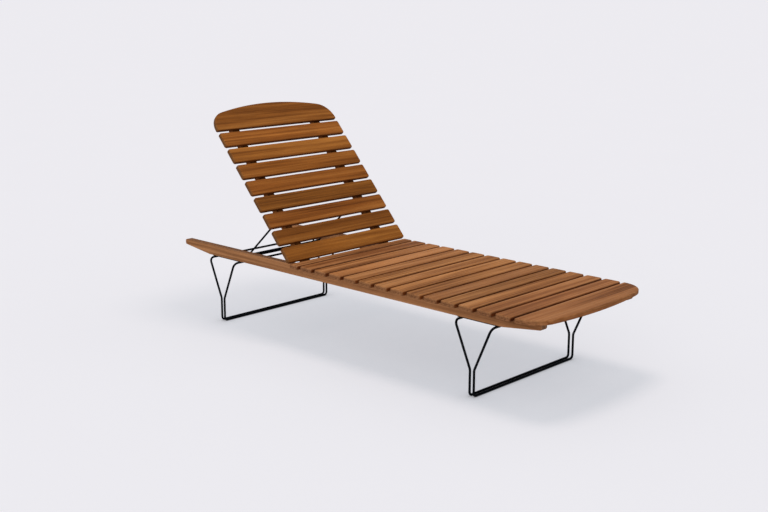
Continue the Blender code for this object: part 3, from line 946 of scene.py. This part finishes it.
def floor_surface():
    """Matt pale grey sweep, faintly uneven. It glows, so that its shadows are weak and it stays
    as bright far away as under the overhead box."""
    made, tree, shader = new_material("studio_floor")
    place = node(tree, "ShaderNodeTexCoord").outputs["Object"]
    from_box = node(tree, "ShaderNodeVectorMath", {0: place, 1: overhead_place},
                    operation="DISTANCE").outputs[1]
    # The box's light on the floor falls off with the fourth power of height over distance
    box_share = math_of(tree, "POWER", math_of(tree, "DIVIDE", overhead_place[2], from_box), 4.0)
    # Painted contact shadow: close to the legs the glow fades
    painted_contact_shadow = node(tree, "ShaderNodeAmbientOcclusion", {"Distance": 0.08}, samples=8).outputs["AO"]
    uneven = noise(tree, place, 1.4, 3.0, 0.5)
    tree.links.new(blend_colours(tree, uneven, (0.450, 0.395, 0.385, 1.0),
                                 (0.460, 0.405, 0.395, 1.0)), shader.inputs["Base Color"])
    shader.inputs["Roughness"].default_value = 0.9
    shader.inputs["Specular IOR Level"].default_value = 0.0
    tree.links.new(blend_colours(tree, box_share, (0.5305, 0.554, 0.5995, 1.0),
                                 (0.3895, 0.4346, 0.4849, 1.0)), shader.inputs["Emission Color"])
    in_view = tree.nodes.new("ShaderNodeLightPath").outputs["Is Camera Ray"]
    glow_share = span(tree, in_view, 0.0, 1.0, 0.4, 1.0)
    tree.links.new(math_of(tree, "MULTIPLY", glow_share, painted_contact_shadow),
                   shader.inputs["Emission Strength"])
    clear = tree.nodes.new("ShaderNodeBsdfTransparent")
    sided = tree.nodes.new("ShaderNodeMixShader")
    tree.links.new(tree.nodes.new("ShaderNodeNewGeometry").outputs["Backfacing"], sided.inputs[0])
    tree.links.new(shader.outputs[0], sided.inputs[1])
    tree.links.new(clear.outputs[0], sided.inputs[2])
    tree.links.new(sided.outputs[0], tree.nodes["Material Output"].inputs["Surface"])
    return made


floor_reach = 300.0
floor_sides = 48
floor_mesh = bpy.data.meshes.new("floor")
floor_mesh.from_pydata([(floor_reach * math.cos(math.tau * side / floor_sides),
                         floor_reach * math.sin(math.tau * side / floor_sides), 0)
                        for side in range(floor_sides)], [], [range(floor_sides)])
floor_mesh.materials.append(floor_surface())
show("floor", floor_mesh)


def soft_light(name, kind, place, strength, spread, colour):
    """A disk as wide as its spread, which looks straight down at the deck's middle line, or a sun
    with its spread in degrees, which looks at the origin."""
    lamp = bpy.data.lights.new(name, kind)
    lamp.energy = strength
    lamp.color = colour
    if kind == "AREA":
        lamp.shape = "DISK"
        lamp.size = spread
    else:
        lamp.angle = math.radians(spread)
    box = show(name, lamp)
    box.location = place
    aim = Vector((0, place[1], 0)) if kind == "AREA" else Vector()
    box.rotation_euler = (Vector(place) - aim).to_track_quat("Z", "Y").to_euler()


soft_light("overhead_box", "AREA", overhead_place, strength=27.0, spread=1.0,
           colour=(1.0, 0.985, 0.96))
soft_light("low_front", "SUN", (-3.0, -1.2, 0.7), strength=1.10, spread=50,
           colour=(1.0, 1.0, 1.0))

# The room lights the lounger evenly, and looks like the floor where it shows behind it
world = bpy.data.worlds.new("studio")
bpy.context.scene.world = world
world.use_nodes = True
room = world.node_tree
glow = room.nodes["Background"]
glow.inputs["Color"].default_value = (0.98, 0.99, 1.0, 1.0)
glow.inputs["Strength"].default_value = 0.62
backdrop = node(room, "ShaderNodeBackground",
                {"Color": (0.839, 0.831, 0.871, 1.0), "Strength": 1.0})
seen = room.nodes.new("ShaderNodeMixShader")
room.links.new(room.nodes.new("ShaderNodeLightPath").outputs["Is Camera Ray"], seen.inputs[0])
room.links.new(glow.outputs[0], seen.inputs[1])
room.links.new(backdrop.outputs[0], seen.inputs[2])
room.links.new(seen.outputs[0], room.nodes["World Output"].inputs["Surface"])

lens = bpy.data.cameras.new("camera")
lens.sensor_width = 36.0
lens.lens = focal_pixels * lens.sensor_width / photo_width
lens.clip_end = 1000.0
camera = show("camera", lens)
camera.matrix_world = Matrix((
    (camera_right.x, camera_up.x, camera_back.x, camera_place.x),
    (camera_right.y, camera_up.y, camera_back.y, camera_place.y),
    (camera_right.z, camera_up.z, camera_back.z, camera_place.z),
    (0.0, 0.0, 0.0, 1.0),
))
bpy.context.scene.camera = camera
bpy.context.scene.view_settings.view_transform = "Standard"
